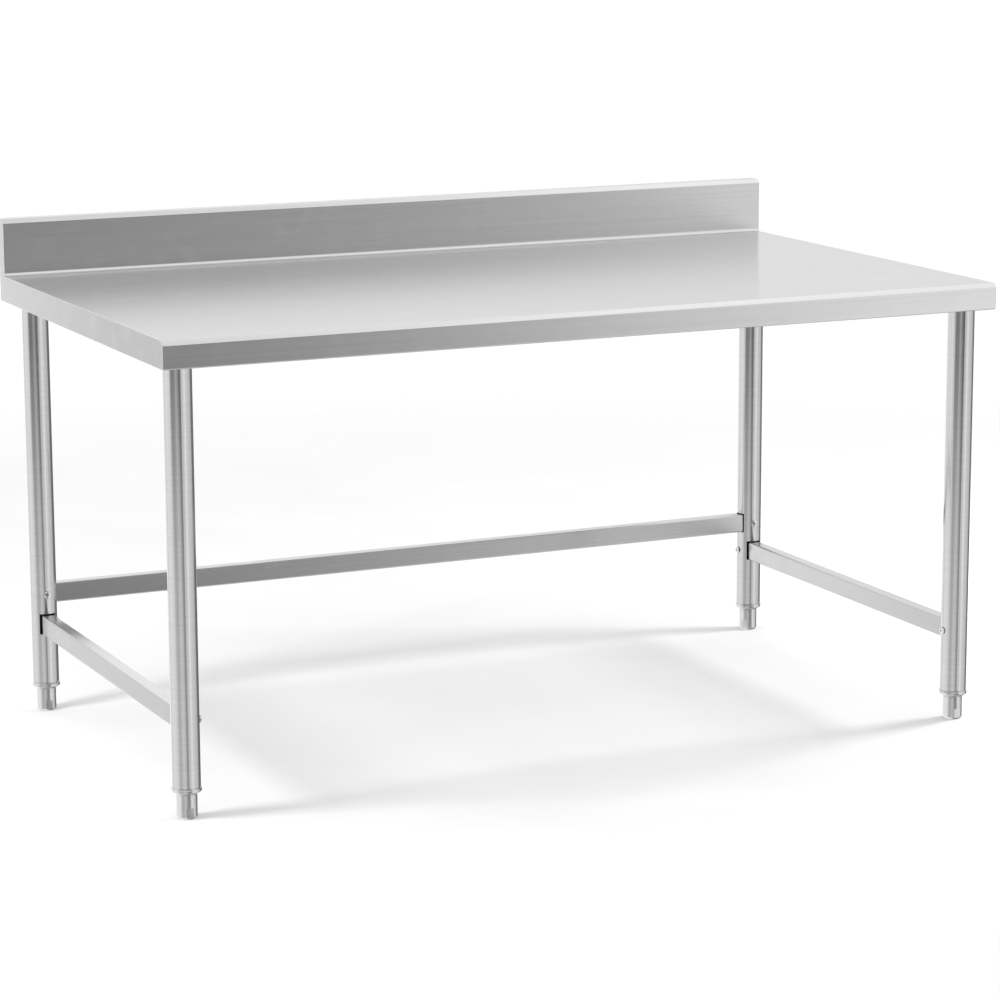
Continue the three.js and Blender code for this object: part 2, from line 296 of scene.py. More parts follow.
def outer_half(bm):
    """Keeps what lies on the +X side of the origin, and closes it again."""
    bmesh.ops.bisect_plane(
        bm, geom=[*bm.verts, *bm.edges, *bm.faces], plane_co=(0, 0, 0), plane_no=(-1, 0, 0),
        clear_outer=True)
    bmesh.ops.holes_fill(bm, edges=bm.edges)


def joined(bm, other):
    """Adds the other mesh to the first, and frees it."""
    mesh = bpy.data.meshes.new("joined")
    other.to_mesh(mesh)
    other.free()
    bm.from_mesh(mesh)
    bpy.data.meshes.remove(mesh)


def to_object(bm, name):
    """A new object with the mesh in it."""
    mesh = bpy.data.meshes.new(name)
    bm.to_mesh(mesh)
    bm.free()
    obj = bpy.data.objects.new(name, mesh)
    bpy.context.scene.collection.objects.link(obj)
    return obj


def cut(bm, *tools):
    """The solid with each tool taken out of it."""
    for tool in tools:
        for part in (bm, tool):
            bmesh.ops.recalc_face_normals(part, faces=part.faces)
        body, cutter = to_object(bm, "body"), to_object(tool, "cutter")
        boolean = body.modifiers.new("cut", "BOOLEAN")
        boolean.operation = "DIFFERENCE"
        boolean.solver = "EXACT"
        boolean.object = cutter
        evaluated = body.evaluated_get(bpy.context.evaluated_depsgraph_get())
        bm = bmesh.new()
        bm.from_mesh(evaluated.to_mesh())
        evaluated.to_mesh_clear()
        for temporary in (body, cutter):
            mesh = temporary.data
            bpy.data.objects.remove(temporary)
            bpy.data.meshes.remove(mesh)
    return bm


def lay_grain(bm, axis, across):
    """Writes a UV map whose U runs the way highlights spread.

    That is across the grain: at right angles to axis on each face, or along axis where across is False.
    """
    layer = bm.loops.layers.uv.new("grain")
    for face in bm.faces:
        normal = face.normal
        spread = normal.cross(axis) if across else axis - normal * axis.dot(normal)
        if spread.length < 0.3:
            other = Vector((0, 0, 1)) if abs(axis.z) < 0.5 else Vector((1, 0, 0))
            spread = other - normal * other.dot(normal)
        spread.normalize()
        side = normal.cross(spread)
        for loop in face.loops:
            loop[layer].uv = (loop.vert.co.dot(spread), loop.vert.co.dot(side))


def piece(node, bm, material, grain=(1, 0, 0), across=True, sharp=32):
    """Turns a mesh into the shown piece that stands for a CAD node and rides with its body.

    Its edges of more than sharp degrees stay sharp, and the rest are smooth.
    """
    bmesh.ops.remove_doubles(bm, verts=bm.verts, dist=MERGE)
    bmesh.ops.dissolve_degenerate(bm, edges=bm.edges, dist=MERGE)
    bmesh.ops.recalc_face_normals(bm, faces=bm.faces)
    for face in bm.faces:
        face.smooth = True
    for edge in bm.edges:
        edge.smooth = edge.calc_face_angle(math.pi) < math.radians(sharp)
    lay_grain(bm, Vector(grain), across)
    obj = to_object(bm, f"{node}_surface")
    weighted = obj.modifiers.new("flat_faces_stay_flat", "WEIGHTED_NORMAL")
    weighted.keep_sharp = True
    weighted.weight = 100
    obj.data.materials.append(MATERIALS[material])
    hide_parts(node)
    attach(obj, frame["nodes"][node]["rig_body"])
    return obj


# ---------------------------------------------------------------- materials


class Nodes:
    """A short way to write a node tree."""

    def __init__(self, tree):
        self.tree = tree
        tree.nodes.clear()

    def add(self, kind, settings=None, **inputs):
        """A new node. Inputs are named with _ for a space, or numbered, and take values or sockets."""
        node = self.tree.nodes.new(kind)
        for name, value in (settings or {}).items():
            setattr(node, name, value)
        for name, value in inputs.items():
            self.set(node, name.replace("_", " "), value)
        return node

    def set(self, node, name, value):
        """Links a socket to an input, or gives the input a value."""
        socket = node.inputs[int(name)] if name.isdigit() else node.inputs[name]
        if isinstance(value, bpy.types.NodeSocket):
            self.tree.links.new(value, socket)
        else:
            socket.default_value = value

    def noise(self, vector, scale, detail=2.0, stretch=(1, 1, 1)):
        """Soft noise, finer along the axes that are stretched."""
        mapping = self.add("ShaderNodeMapping", Vector=vector, Scale=stretch)
        noise = self.add("ShaderNodeTexNoise", Vector=mapping.outputs[0], Scale=scale, Detail=detail)
        return noise.outputs[0]

    def between(self, value, low, high, start=0.3, end=0.7):
        """Goes from low to high as the value goes from start to end."""
        node = self.add("ShaderNodeMapRange", Value=value)
        for name, number in zip(("From Min", "From Max", "To Min", "To Max"), (start, end, low, high)):
            node.inputs[name].default_value = number
        return node.outputs[0]

    def ramp(self, value, levels):
        """Grey levels at given values from 0 to 1, eased between them."""
        node = self.add("ShaderNodeValToRGB", Fac=value)
        node.color_ramp.interpolation = "EASE"
        stops = node.color_ramp.elements
        for position, level in levels[1:-1]:
            stops.new(position).color = (level, level, level, 1)
        for stop, (_, level) in ((stops[0], levels[0]), (stops[-1], levels[-1])):
            stop.color = (level, level, level, 1)
        return node.outputs[0]

    def mix(self, factor, one, other, blend="MIX"):
        """Colour one where the factor is 0 and the other where it is 1."""
        node = self.add("ShaderNodeMix", {"data_type": "RGBA", "blend_type": blend})
        for index, value in ((0, factor), (6, one), (7, other)):
            self.set(node, str(index), value)
        return node.outputs[2]


COARSE_STREAK = 0.16  # fineness of the broad streaks, as a share of the fine grain's
DARK_STREAK = 0.94  # brightness of a dark streak
DULL_CLOUD = 0.965  # brightness of a dull patch
CLOUDS_PER_METRE = 5.0
SMUDGES_PER_METRE = 21.0
GRAIN_ROUGHNESS = 0.02
SMUDGE_ROUGHNESS = 0.05
GRAIN_STRENGTH = 0.22
GRAIN_HEIGHT = 0.06 * MM


def steel(name, colour, roughness, anisotropy, streak, wear=1.0, grain_depth=1.0, metal=1.0):
    """Stainless steel with a ground grain.

    streak gives how finely it varies per metre along X, Y and Z, wear how strong its clouds and smudges
    are, grain_depth how deep the grain is, and metal how much of the surface reflects as bare metal.
    """
    material = bpy.data.materials.new(name)
    material.use_nodes = True
    nodes = Nodes(material.node_tree)
    place = nodes.add("ShaderNodeTexCoord").outputs["Object"]
    fine = nodes.noise(place, 1.0, 3.0, streak)
    coarse = nodes.noise(place, 1.0, 2.0, tuple(COARSE_STREAK * s for s in streak))
    cloud = nodes.noise(place, CLOUDS_PER_METRE, 4.0)
    smudge = nodes.noise(place, SMUDGES_PER_METRE, 5.0)

    dark = tuple(c * DARK_STREAK for c in colour)
    tone = nodes.mix(nodes.between(coarse, 0.0, 1.0), (*dark, 1), (*colour, 1))
    dull = tuple(c * DULL_CLOUD for c in colour)
    tone = nodes.mix(nodes.between(cloud, 0.0, 0.6 * wear, 0.45, 0.75), tone, (*dull, 1))

    rough_grain = nodes.between(fine, roughness - GRAIN_ROUGHNESS, roughness + GRAIN_ROUGHNESS)
    rough_worn = nodes.between(smudge, 0.0, SMUDGE_ROUGHNESS * wear, 0.5, 0.8)
    rough = nodes.add("ShaderNodeMath", {"operation": "ADD"}, **{"0": rough_grain, "1": rough_worn})

    strength = GRAIN_STRENGTH * grain_depth
    bump = nodes.add("ShaderNodeBump", Strength=strength, Distance=GRAIN_HEIGHT, Height=fine)
    tangent = nodes.add("ShaderNodeTangent", {"direction_type": "UV_MAP", "uv_map": "grain"})
    shader = nodes.add(
        "ShaderNodeBsdfPrincipled", Base_Color=tone, Metallic=metal, Roughness=rough.outputs[0],
        Anisotropic=anisotropy, Normal=bump.outputs[0], Tangent=tangent.outputs[0])
    output = nodes.add("ShaderNodeOutputMaterial")
    nodes.set(output, "Surface", shader.outputs[0])
    return material


BRIGHT = (0.64, 0.64, 0.64)
SATIN = (0.62, 0.62, 0.62)
DULL = (0.54, 0.54, 0.54)
FOOT_STEEL = (0.74, 0.74, 0.74)
SCREW_STEEL = (0.80, 0.80, 0.80)
MATERIALS = {
    "worktop": steel("worktop_steel", BRIGHT, 0.20, 0.86, (9, 900, 900)),
    "worktop_face": steel("worktop_face_steel", BRIGHT, 0.18, 0.86, (9, 900, 900), wear=0.35, metal=0.58),
    "end_plate": steel("end_plate_steel", BRIGHT, 0.24, 0.80, (900, 9, 900)),
    "leg": steel("leg_steel", BRIGHT, 0.12, 0.70, (14, 14, 1400), wear=0.5, grain_depth=0.6),
    "stretcher_x": steel("stretcher_steel_x", SATIN, 0.24, 0.75, (12, 1100, 1100)),
    "stretcher_y": steel("stretcher_steel_y", SATIN, 0.24, 0.75, (1100, 12, 1100)),
    "channel_x": steel("channel_steel_x", DULL, 0.42, 0.50, (16, 800, 800), wear=1.6),
    "channel_y": steel("channel_steel_y", DULL, 0.42, 0.50, (800, 16, 800), wear=1.6),
    "socket": steel("socket_steel", DULL, 0.42, 0.30, (300, 300, 300), wear=1.6),
    "foot": steel("foot_steel", FOOT_STEEL, 0.30, 0.45, (40, 40, 2200), grain_depth=1.6),
    "screw": steel("screw_steel", SCREW_STEEL, 0.12, 0.20, (700, 700, 700), wear=0.5),
    "fastener": steel("fastener_steel", DULL, 0.32, 0.30, (1500, 1500, 1500)),
}


# ---------------------------------------------------------------- worktop

table_low, table_high, _ = box_of("worktop_sheet")
cap_low, _, _ = box_of("splash_end_cap_left")
x_end = table_high.x
y_front, y_back = table_low.y, table_high.y
z_apron, z_splash = table_low.z, table_high.z
y_splash = cap_low.y - SHEET - GAP
z_top = cap_low.z - GAP


def splash_corners(radius):
    """The splashback's section from the worktop up its face and over the top to its back."""
    return [
        (y_splash, z_top, COVE_RADIUS),
        (y_splash, z_splash - FOLD_BEVEL, radius),
        (y_splash + FOLD_BEVEL, z_splash, radius),
        (y_back, z_splash, radius),
    ]


def worktop():
    """The folded sheet, its side aprons with their hems, and a ground edge round each side."""
    bm = bmesh.new()
    path = filleted([
        (y_front + HEM_WIDTH, z_apron, 0),
        (y_front, z_apron, BEND_RADIUS),
        (y_front, z_top - FOLD_BEVEL, BEND_RADIUS),
        (y_front + FOLD_BEVEL, z_top, BEND_RADIUS),
        *splash_corners(BEND_RADIUS),
        (y_back, z_apron, BEND_RADIUS),
        (y_back - HEM_WIDTH, z_apron, 0),
    ], 8)
    between = x_end - SHEET
    extruded(bm, folded(path, SHEET), -between, between)
    side = closed_fillet([
        (y_front, z_apron, BEND_RADIUS),
        (y_back, z_apron, BEND_RADIUS),
        (y_back, z_top, 0.0),
        (y_front + FOLD_BEVEL, z_top, BEND_RADIUS),
        (y_front, z_top - FOLD_BEVEL, BEND_RADIUS),
    ])
    for sx in (-1, 1):
        plate = bmesh.new()
        extruded(plate, side, -SHEET, SHEET, GROUND_EDGE)
        outer_half(plate)
        moved(plate, Matrix.Translation((between, 0, 0)))
        hem = [(between - HEM_WIDTH + SHEET, z_apron), (between, z_apron),
               (between, z_apron + SHEET), (between - HEM_WIDTH + SHEET, z_apron + SHEET)]
        extruded(plate, [Vector(p) for p in hem], y_front + HEM_WIDTH, y_back - HEM_WIDTH,
                 axes=("x", "z", "y"))
        moved(plate, Matrix.Scale(sx, 4, (1, 0, 0)))
        joined(bm, plate)
    return bm


def end_plate(sx):
    """The plate welded over one end of the hollow splashback, ground flush."""
    bm = bmesh.new()
    cove = [math.radians(angle) for angle in range(-50, 1, 10)]
    toe = y_splash - COVE_RADIUS * (1 - math.cos(cove[0]))
    outline = [
        Vector((toe, z_top)),
        *[Vector((y_splash - COVE_RADIUS * (1 - math.cos(a)), z_top + COVE_RADIUS * (1 + math.sin(a))))
          for a in cove],
        *filleted([*splash_corners(BEND_RADIUS), (y_back, z_top, 0)], 8)[1:],
    ]
    extruded(bm, outline, -SHEET, SHEET, GROUND_EDGE)
    outer_half(bm)
    moved(bm, Matrix.Scale(sx, 4, (1, 0, 0)) @ Matrix.Translation((x_end - SHEET, 0, 0)))
    return bm


sheet_piece = piece("worktop_sheet", worktop(), "worktop")
sheet_piece.data.materials.append(MATERIALS["worktop_face"])
for polygon in sheet_piece.data.polygons:
    if polygon.normal.z > 0.95 and abs(polygon.center.z - z_top) < MM:
        polygon.material_index = 1
piece("splash_end_cap_left", end_plate(-1), "end_plate", grain=(0, 0, 1))
piece("splash_end_cap_right", end_plate(1), "end_plate", grain=(0, 0, 1))


# ---------------------------------------------------------------- channels

def channel(node, along):
    """A hat-section channel, crown down, with bends in its sheet."""
    low, high, middle = box_of(node)
    across = "y" if along == "x" else "x"
    centre, edge = getattr(middle, across), getattr(high, across)
    half, lip = CHANNEL_CROWN / 2, edge - centre
    path = filleted([
        (centre - lip, high.z, 0),
        (centre - half, high.z, CHANNEL_BEND),
        (centre - half, low.z + SHEET, CHANNEL_BEND),
        (centre + half, low.z + SHEET, CHANNEL_BEND),
        (centre + half, high.z, CHANNEL_BEND),
        (centre + lip, high.z, 0),
    ], 4)
    bm = bmesh.new()
    extruded(bm, folded(path, SHEET), getattr(low, along), getattr(high, along),
             axes=(across, "z", along))
    piece(node, bm, f"channel_{along}", grain=(1, 0, 0) if along == "x" else (0, 1, 0))


channel("cross_channel_left", "y")
channel("cross_channel_right", "y")
channel("centre_channel", "x")


# ---------------------------------------------------------------- legs and sockets

def slot_tool(centre, direction, width, low, high, reach):
    """A cutter with rounded corners that opens a leg from its axis outwards."""
    outline = closed_fillet([
        (-width / 2, low, SLOT_CORNER), (width / 2, low, SLOT_CORNER),
        (width / 2, high, SLOT_CORNER), (-width / 2, high, SLOT_CORNER)])
    bm = bmesh.new()
    along = "x" if abs(direction.x) > 0.5 else "y"
    sign = direction.x + direction.y
    extruded(bm, outline, *sorted((0, sign * reach)), axes=("y" if along == "x" else "x", "z", along))
    return moved(bm, Matrix.Translation(centre))


def hole_tool(centre, direction, radius, reach):
    """A round cutter that goes out from a centre."""
    bm = bmesh.new()
    turned(bm, [(radius, 0), (radius, reach)], SMALL_STEPS)
    return moved(bm, Matrix.Translation(centre) @ pointing(direction))


def leg(corner):
    """A tube with rounded rims, a slot for each stretcher and a hole for each of their screws."""
    low, high, middle = box_of(f"leg_{corner}")
    radius = (high.x - low.x) / 2
    inner, rim = radius - LEG_WALL, FINE_EDGE
    bm = bmesh.new()
    turned(bm, [
        (inner, low.z + rim), (inner + rim, low.z), (radius - rim, low.z), (radius, low.z + rim),
        (radius, high.z - rim), (radius - rim, high.z), (inner + rim, high.z), (inner, high.z - rim),
    ], cyclic=True)
    moved(bm, Matrix.Translation((middle.x, middle.y, 0)))

    left, back = "left" in corner, "back" in corner
    inwards = Vector((1 if left else -1, 0, 0))
    lengthways = Vector((0, -1 if back else 1, 0))
    side = "left" if left else "right"
    joins = [(f"side_stretcher_{side}", lengthways, inwards, f"side_screw_{corner}")]
    if back:
        joins.append(("back_stretcher", inwards, Vector((0, -1, 0)), f"back_screw_{corner}"))
    for stretcher, towards, screw_side, screw in joins:
        bar_low, bar_high, _ = box_of(stretcher)
        width = (bar_high.x - bar_low.x) if abs(towards.y) > 0.5 else (bar_high.y - bar_low.y)
        centre = Vector((middle.x, middle.y, 0))
        bm = cut(
            bm,
            slot_tool(centre, towards, width + 2 * SLOT_SIDE, bar_low.z - GAP, bar_high.z + SLOT_TOP,
                      2 * radius),
            hole_tool(centre + Vector((0, 0, box_of(screw)[2].z)), screw_side, SCREW_RADIUS + GAP,
                      2 * radius))
    piece(f"leg_{corner}", bm, "leg", grain=(0, 0, 1), across=False)
    return middle, inwards


def socket(corner, middle, inwards):
    """The flanged cup under a channel, with its weld, and the hole for its set screw."""
    node = f"leg_socket_{corner}"
    low, high, _ = box_of(node)
    plate_low = high.z - SOCKET_PLATE
    leg_low, leg_high, _ = box_of(f"leg_{corner}")
    bore = (leg_high.x - leg_low.x) / 2 + GAP
    outer = bore + SOCKET_WALL
    edge = FINE_EDGE
    bm = bmesh.new()
    turned(bm, [
        (bore, plate_low), (bore, low.z + edge), (bore + edge, low.z), (outer - edge, low.z),
        (outer, low.z + edge), (outer, plate_low - SOCKET_WELD),
        (outer + SOCKET_WELD / 3, plate_low - SOCKET_WELD / 3), (outer + SOCKET_WELD, plate_low),
    ], cyclic=True)
    screw = box_of(f"set_screw_{corner}")[2]
    bm = moved(bm, Matrix.Translation((middle.x, middle.y, 0)))
    bm = cut(bm, hole_tool(Vector((middle.x, middle.y, screw.z)), inwards, GRUB_RADIUS + GAP, 2 * outer))
    flange = rounded_rectangle(high.x - low.x, high.y - low.y, SOCKET_CORNER)
    outline = [point + Vector((middle.x, middle.y)) for point in flange]
    extruded(bm, outline, plate_low, high.z, FINE_EDGE, axes=("x", "y", "z"))
    piece(node, bm, "socket", grain=(0, 0, 1))


def set_screw(corner, inwards):
    """A threaded set screw with a hexagon socket in the end that points away from the leg."""
    node = f"set_screw_{corner}"
    low, high, middle = box_of(node)
    length = high.x - low.x
    bm = bmesh.new()
    threaded(bm, GRUB_RADIUS, GRUB_PITCH, -length / 2, length / 2, GRUB_CHAMFER, 32)
    key = bmesh.new()
    turned(key, [(GRUB_KEY / math.sqrt(3), 0), (GRUB_KEY / math.sqrt(3), length)], 6)
    bm = cut(bm, key)
    moved(bm, Matrix.Translation(middle) @ pointing(inwards))
    piece(node, bm, "fastener")


for corner in CORNERS:
    leg_middle, inwards = leg(corner)
    socket(corner, leg_middle, inwards)
    set_screw(corner, inwards)


# ---------------------------------------------------------------- stretchers and screws

def stretcher(node, along):
    """Rectangular tube with rounded corners, open at both ends."""
    low, high, middle = box_of(node)
    across = "y" if along == "x" else "x"
    width, height = getattr(high, across) - getattr(low, across), high.z - low.z
    outer = rounded_rectangle(width, height, STRETCHER_CORNER, 6)
    inner = rounded_rectangle(
        width - 2 * STRETCHER_WALL, height - 2 * STRETCHER_WALL, STRETCHER_CORNER - STRETCHER_WALL, 6)
    start, end = getattr(low, along), getattr(high, along)
    centre = Vector((getattr(middle, across), middle.z))
    rings = []
    for outline, place in ((outer, start), (outer, end), (inner, end), (inner, start)):
        ring = []
        for point in outline:
            u, v = point + centre
            ring.append((place, u, v) if along == "x" else (u, place, v))
        rings.append(ring)
    bm = bmesh.new()
    loft(bm, rings, cyclic=True)
    piece(node, bm, f"stretcher_{along}", grain=(1, 0, 0) if along == "x" else (0, 1, 0))


def pan_screw(node, direction):
    """A pan-head screw with a cross recess whose arms narrow towards the bottom."""
    low, high, middle = box_of(node)
    length = abs((high - low).dot(direction))
    top = length / 2
    seat = top - SCREW_HEAD_HEIGHT
    rim = top - SCREW_CROWN
    bm = bmesh.new()
    dome = [math.pi / 2 * k / 7 for k in range(8)]
    turned(bm, [
        (SCREW_RADIUS - SCREW_TIP, -top), (SCREW_RADIUS, -top + SCREW_TIP), (SCREW_RADIUS, seat),
        (SCREW_HEAD - FINE_EDGE, seat), (SCREW_HEAD, seat + FINE_EDGE),
        *[(SCREW_HEAD * math.cos(a) ** 0.8 + 1e-6, rim + SCREW_CROWN * math.sin(a)) for a in dome],
    ], SMALL_STEPS)
    for turn in CROSS_TURNS:
        arm = bmesh.new()
        rings = []
        for depth, reach, half in (CROSS_FLOOR, CROSS_MOUTH):
            z = top - depth
            rings.append([(-reach, -half, z), (reach, -half, z), (reach, half, z), (-reach, half, z)])
        loft(arm, rings)
        moved(arm, Matrix.Rotation(math.radians(turn), 4, "Z"))
        bm = cut(bm, arm)
    moved(bm, Matrix.Translation(middle) @ pointing(direction))
    piece(node, bm, "screw")


stretcher("side_stretcher_left", "y")
stretcher("side_stretcher_right", "y")
stretcher("back_stretcher", "x")
for corner in CORNERS:
    pan_screw(f"side_screw_{corner}", Vector((1 if "left" in corner else -1, 0, 0)))
    if "back" in corner:
        pan_screw(f"back_screw_{corner}", Vector((0, -1, 0)))


# ---------------------------------------------------------------- feet

cup_low, cup_high, _ = box_of("foot_cup_front_left")
FOOT_RADIUS = (cup_high.x - cup_low.x) / 2


def rounded_profile(corners, steps=4):
    """(radius, z) points for turning, with an arc at each corner that has a radius."""
    return [(point.x, point.y) for point in filleted(corners, steps)]


def foot_insert(corner):
    """The plug inside the leg and the collar under it, with turned edges."""
    node = f"foot_insert_{corner}"
    low, high, middle = box_of(node)
    leg_low, leg_high, _ = box_of(f"leg_{corner}")
    rim = (high.x - low.x) / 2
    tube = (leg_high.x - leg_low.x) / 2
    cup_low, cup_high, _ = box_of(f"foot_cup_{corner}")
    straight = corner not in FOOT_TURNS
    neck = (cup_high.y - cup_low.y) / 2 if straight else (cup_high.x - cup_low.x) / 2
    shoulder = leg_low.z - GAP
    collar = shoulder - SHOULDER_HEIGHT
    plug = tube - LEG_WALL - GAP
    bore = STUD_RADIUS + GAP
    bm = bmesh.new()
    turned(bm, rounded_profile([
        (bore, (low.z + high.z) / 2, 0), (bore, low.z, 0),
        (neck + COLLAR_LIP, low.z, TURNED_EDGE), (rim, low.z + COLLAR_CONE, COLLAR_EDGE),
        (rim, collar, COLLAR_TOP_EDGE), (tube - SHOULDER_SETBACK, collar, 0),
        (tube - SHOULDER_SETBACK, shoulder, SHOULDER_EDGE), (plug, shoulder, 0),
        (plug, high.z, TURNED_EDGE), (bore, high.z, 0), (bore, (low.z + high.z) / 2, 0),
    ])[:-1], cyclic=True)
    moved(bm, Matrix.Translation((middle.x, middle.y, 0)))
    piece(node, bm, "foot", grain=(0, 0, 1), across=False)


def foot_stud(corner):
    """The threaded rod that screws the cup in and out."""
    node = f"foot_stud_{corner}"
    low, high, middle = box_of(node)
    bm = bmesh.new()
    threaded(bm, STUD_RADIUS, STUD_PITCH, low.z, high.z, STUD_CHAMFER)
    moved(bm, Matrix.Translation((middle.x, middle.y, 0)))
    piece(node, bm, "fastener", grain=(0, 0, 1), across=False)


def foot_cup(corner):
    """The cup that stands on the floor: a turned body with two milled wrench flats."""
    node = f"foot_cup_{corner}"
    low, high, middle = box_of(node)
    radius = FOOT_RADIUS
    bore = STUD_RADIUS + GAP
    bm = bmesh.new()
    turned(bm, rounded_profile([
        (0, low.z, 0), (radius - FOOT_CHAMFER, low.z, FOOT_EDGE),
        (radius, low.z + FOOT_CHAMFER, FOOT_EDGE), (radius, high.z, FOOT_RIM),
        (bore, high.z, FOOT_BORE_EDGE), (bore, low.z + FOOT_FLOOR, 0), (0, low.z + FOOT_FLOOR, 0),
    ]))
    for sy in (-1, 1):
        flat = bmesh.new()
        outline = rounded_rectangle(4 * radius, 2 * FOOT_FLAT_TOP, FOOT_FLAT_CORNER)
        extruded(flat, outline, *sorted((sy * FOOT_FLAT_OFFSET, sy * 2 * radius)), axes=("x", "z", "y"))
        bm = cut(bm, flat)
    turn = Matrix.Rotation(math.radians(FOOT_TURNS.get(corner, 0)), 4, "Z")
    moved(bm, Matrix.Translation((middle.x, middle.y, 0)) @ turn)
    piece(node, bm, "foot", grain=(0, 0, 1), across=False)


for corner in CORNERS:
    foot_insert(corner)
    foot_stud(corner)
    foot_cup(corner)


# ---------------------------------------------------------------- studio

FLOOR_RINGS = (1.5, 3.0, 6.0)  # radii in metres
FLOOR_FADE = (1.9, 4.0)  # from full floor to none, by the distance from the middle
FLOOR_TONE = (0.72, 0.75)  # its darkest and lightest patches
FLOOR_GLOW = 0.12  # share of the floor that shines by itself

# brightness round the horizon: degrees from straight in front of the table, towards its right end
AROUND = ((-180, 1.25), (-168, 1.5), (-161, 0.60), (-156, 1.05), (-151, 1.5), (-147, 0.62), (-139, 1.1),
          (-110, 1.1), (-90, 1.0), (-61, 0.68), (-35, 0.90), (-22, 0.84), (-6, 0.46), (15, 0.26),
          (20, 0.35), (24, 0.52), (28, 0.90), (33, 1.20), (44, 0.92), (75, 0.80), (86, 0.68),
          (102, 0.22), (138, 0.16), (143, 0.95), (150, 1.0), (158, 1.15), (165, 1.22), (180, 1.25))
# how much of it is left just under eye level, in front and to the left
DUSK = ((-180, 1.0), (-86, 1.0), (-75, 0.25), (-46, 0.18), (-33, 0.42), (-14, 0.20), (2, 0.22), (15, 1.0),
        (180, 1.0))
# brightness above it, by the height of the direction
ABOVE = ((0.0, 1.05), (0.45, 1.1), (0.78, 1.2), (0.87, 1.42), (0.94, 1.0), (1.0, 1.0))
DUSK_HEIGHTS = (-0.197, -0.157)  # heights of directions between which the dusk falls
SKY_HEIGHTS = (0.32, 0.48)  # where the ring round the horizon gives way to what is above it
BACKDROP = 1.02  # brightness of the plain white behind the table

LEG_SUN = (15, -12)  # compass direction and height in degrees
LEG_SUN_SPREAD = 24  # degrees across
LEG_SUN_POWER = 0.075
SOFTBOX_PLACE = (2.9, -0.2, 1.35)  # of the one on the right; the other is its mirror image
SOFTBOX_SIZE = (0.7, 0.7)
SOFTBOX_POWER = 60  # watts

AIM_OFFSET = Vector((8, -17, -57)) * MM  # from the middle of the table
CAMERA_TURN = -24.68  # degrees from straight in front
CAMERA_HEIGHT = 11.36  # degrees above level
CAMERA_ROLL = -0.22  # degrees
CAMERA_DISTANCE = 6.526  # metres
CAMERA_LENS = 122.1  # millimetres, for a picture 36 wide


def compass(turn, height):
    """The unit vector towards a compass direction and a height, in degrees."""
    turn, height = math.radians(turn), math.radians(height)
    level = math.cos(height)
    return Vector((math.sin(turn) * level, -math.cos(turn) * level, math.sin(height)))


def floor():
    """A pale floor that thins out into the white surroundings at its rim, and is clear from below.

    It lies under the lowest foot: where a foot screws out, the floor goes down with it.
    """
    bm = bmesh.new()
    turned(bm, [(radius, 0.0) for radius in (0.01, *FLOOR_RINGS)], 64)
    large_caps = [face for face in bm.faces if len(face.verts) > 4 and face.calc_area() > 1]
    for face in large_caps:
        bm.faces.remove(face)
    bm.normal_update()
    bmesh.ops.reverse_faces(bm, faces=[face for face in bm.faces if face.normal.z < 0])
    obj = to_object(bm, "floor")
    material = bpy.data.materials.new("pale_floor")
    material.use_nodes = True
    nodes = Nodes(material.node_tree)
    place = nodes.add("ShaderNodeTexCoord").outputs["Object"]
    distance = nodes.add("ShaderNodeVectorMath", {"operation": "LENGTH"}, **{"0": place}).outputs[1]
    speckle = nodes.between(nodes.noise(place, 3.0, 3.0), *FLOOR_TONE)
    tone = nodes.add("ShaderNodeCombineColor", **{"0": speckle, "1": speckle, "2": speckle})
    matt = nodes.add("ShaderNodeBsdfDiffuse", Color=tone.outputs[0])
    glow = nodes.add("ShaderNodeEmission", Color=(1, 1, 1, 1), Strength=1.0)
    lit = nodes.add("ShaderNodeMixShader", **{"0": FLOOR_GLOW, "1": matt.outputs[0], "2": glow.outputs[0]})
    clear = nodes.add("ShaderNodeBsdfTransparent")
    fade = nodes.between(distance, 0.0, 1.0, *FLOOR_FADE)
    from_below = nodes.add("ShaderNodeNewGeometry").outputs["Backfacing"]
    fade = nodes.add("ShaderNodeMath", {"operation": "MAXIMUM"}, **{"0": fade, "1": from_below}).outputs[0]
    edge = nodes.add("ShaderNodeMixShader", **{"0": fade, "1": lit.outputs[0], "2": clear.outputs[0]})
    output = nodes.add("ShaderNodeOutputMaterial")
    nodes.set(output, "Surface", edge.outputs[0])
    obj.data.materials.append(material)
    obj.visible_glossy = False
    for corner in CORNERS:
        cup_body = bpy.data.objects[f"foot_cup_{corner}_surface"].parent
        stay_under = obj.constraints.new("FLOOR")
        stay_under.target = cup_body
        stay_under.floor_location = "FLOOR_NEGATIVE_Z"
        stay_under.offset = -cup_body.matrix_world.translation.z


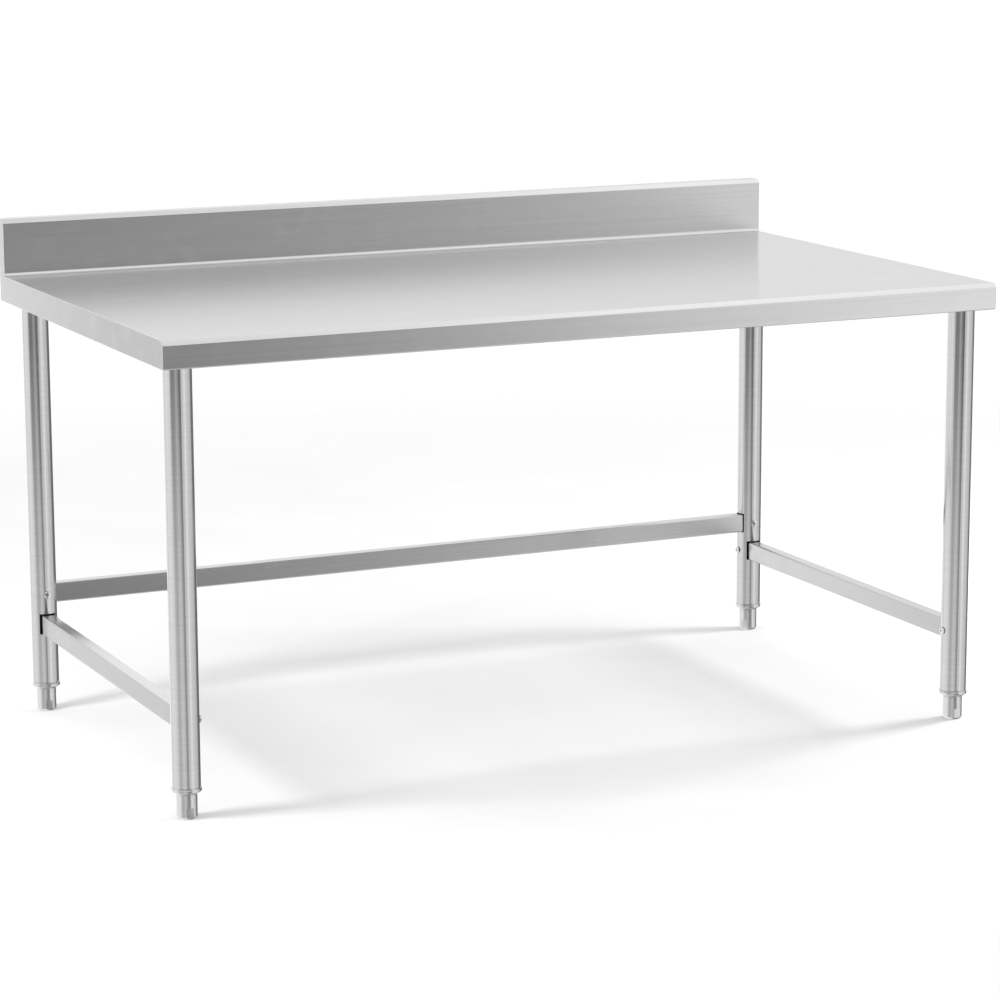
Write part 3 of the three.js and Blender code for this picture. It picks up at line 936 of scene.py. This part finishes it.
def surroundings():
    """A white studio that is darker in front of the table, by compass direction and height."""
    world = bpy.data.worlds.new("studio")
    bpy.context.scene.world = world
    world.use_nodes = True
    nodes = Nodes(world.node_tree)
    direction = nodes.add("ShaderNodeTexCoord").outputs["Generated"]
    split = nodes.add("ShaderNodeSeparateXYZ", Vector=direction)
    x, y, z = split.outputs
    minus_y = nodes.add("ShaderNodeMath", {"operation": "MULTIPLY"}, **{"0": y, "1": -1.0}).outputs[0]
    turn = nodes.add("ShaderNodeMath", {"operation": "ARCTAN2"}, **{"0": x, "1": minus_y}).outputs[0]
    share = nodes.between(turn, 0.0, 1.0, -math.pi, math.pi)
    low_glow = nodes.ramp(share, [(degrees / 360 + 0.5, level) for degrees, level in AROUND])
    dusk = nodes.ramp(share, [(degrees / 360 + 0.5, level) for degrees, level in DUSK])
    eye_level = nodes.between(z, 0.0, 1.0, *DUSK_HEIGHTS)
    dimming = nodes.mix(eye_level, (1, 1, 1, 1), dusk)
    low_glow = nodes.mix(1.0, low_glow, dimming, "MULTIPLY")
    high_glow = nodes.ramp(z, ABOVE)
    glow = nodes.mix(nodes.between(z, 0.0, 1.0, *SKY_HEIGHTS), low_glow, high_glow)
    around = nodes.add("ShaderNodeBackground", Color=glow, Strength=1.0)
    backdrop = nodes.add("ShaderNodeBackground", Color=(1, 1, 1, 1), Strength=BACKDROP)
    seen = nodes.add("ShaderNodeLightPath").outputs["Is Camera Ray"]
    shown = nodes.add("ShaderNodeMixShader", **{"0": seen, "1": around.outputs[0], "2": backdrop.outputs[0]})
    output = nodes.add("ShaderNodeOutputWorld")
    nodes.set(output, "Surface", shown.outputs[0])


def light(name, kind, only, see_through=False):
    """A light that falls on the given pieces alone. Where see_through, only they cast its shadows."""
    data = bpy.data.lights.new(name, kind)
    lamp = bpy.data.objects.new(name, data)
    lamp.visible_camera = False
    bpy.context.scene.collection.objects.link(lamp)
    receivers = bpy.data.collections.new(f"{name}_receivers")
    for obj in only:
        receivers.objects.link(obj)
    lamp.light_linking.receiver_collection = receivers
    if see_through:
        lamp.light_linking.blocker_collection = receivers
    return lamp, data


def softbox(name, centre, aim, size, power, only):
    """A rectangular lamp that looks at the aim."""
    lamp, data = light(name, "AREA", only)
    data.shape = "RECTANGLE"
    data.size, data.size_y = size
    data.energy = power
    lamp.location = centre
    lamp.rotation_euler = (Vector(aim) - Vector(centre)).to_track_quat("-Z", "Y").to_euler()


def sky_lamp(name, turn, height, spread, power, only):
    """A far, soft light at a compass direction and height, in degrees."""
    lamp, data = light(name, "SUN", only, see_through=True)
    data.angle = math.radians(spread)
    data.energy = power
    lamp.rotation_euler = (-compass(turn, height)).to_track_quat("-Z", "Y").to_euler()


def camera():
    """The camera that looks at the table from its front left, a little above it."""
    low, high = cad_box
    aim = (low + high) / 2 + AIM_OFFSET
    data = bpy.data.cameras.new("camera")
    data.lens = CAMERA_LENS
    data.sensor_width = 36
    data.clip_end = 100
    back = compass(CAMERA_TURN, CAMERA_HEIGHT)
    eye = bpy.data.objects.new("camera", data)
    eye.location = aim + back * CAMERA_DISTANCE
    look = (-back).to_track_quat("-Z", "Y").to_matrix()
    eye.rotation_euler = (look @ Matrix.Rotation(math.radians(CAMERA_ROLL), 3, "Z")).to_euler()
    bpy.context.scene.collection.objects.link(eye)
    bpy.context.scene.camera = eye


floor()
surroundings()
legs = [bpy.data.objects[f"leg_{corner}_surface"] for corner in CORNERS]
sky_lamp("leg_glint", *LEG_SUN, LEG_SUN_SPREAD, LEG_SUN_POWER, legs)
box_x, box_y, box_z = SOFTBOX_PLACE
only_floor = [bpy.data.objects["floor"]]
for side in (-1, 1):
    place = (side * box_x, box_y, box_z)
    softbox("side_softbox", place, (0, 0, 0), SOFTBOX_SIZE, SOFTBOX_POWER, only_floor)
camera()
bpy.context.scene.view_settings.view_transform = "Standard"
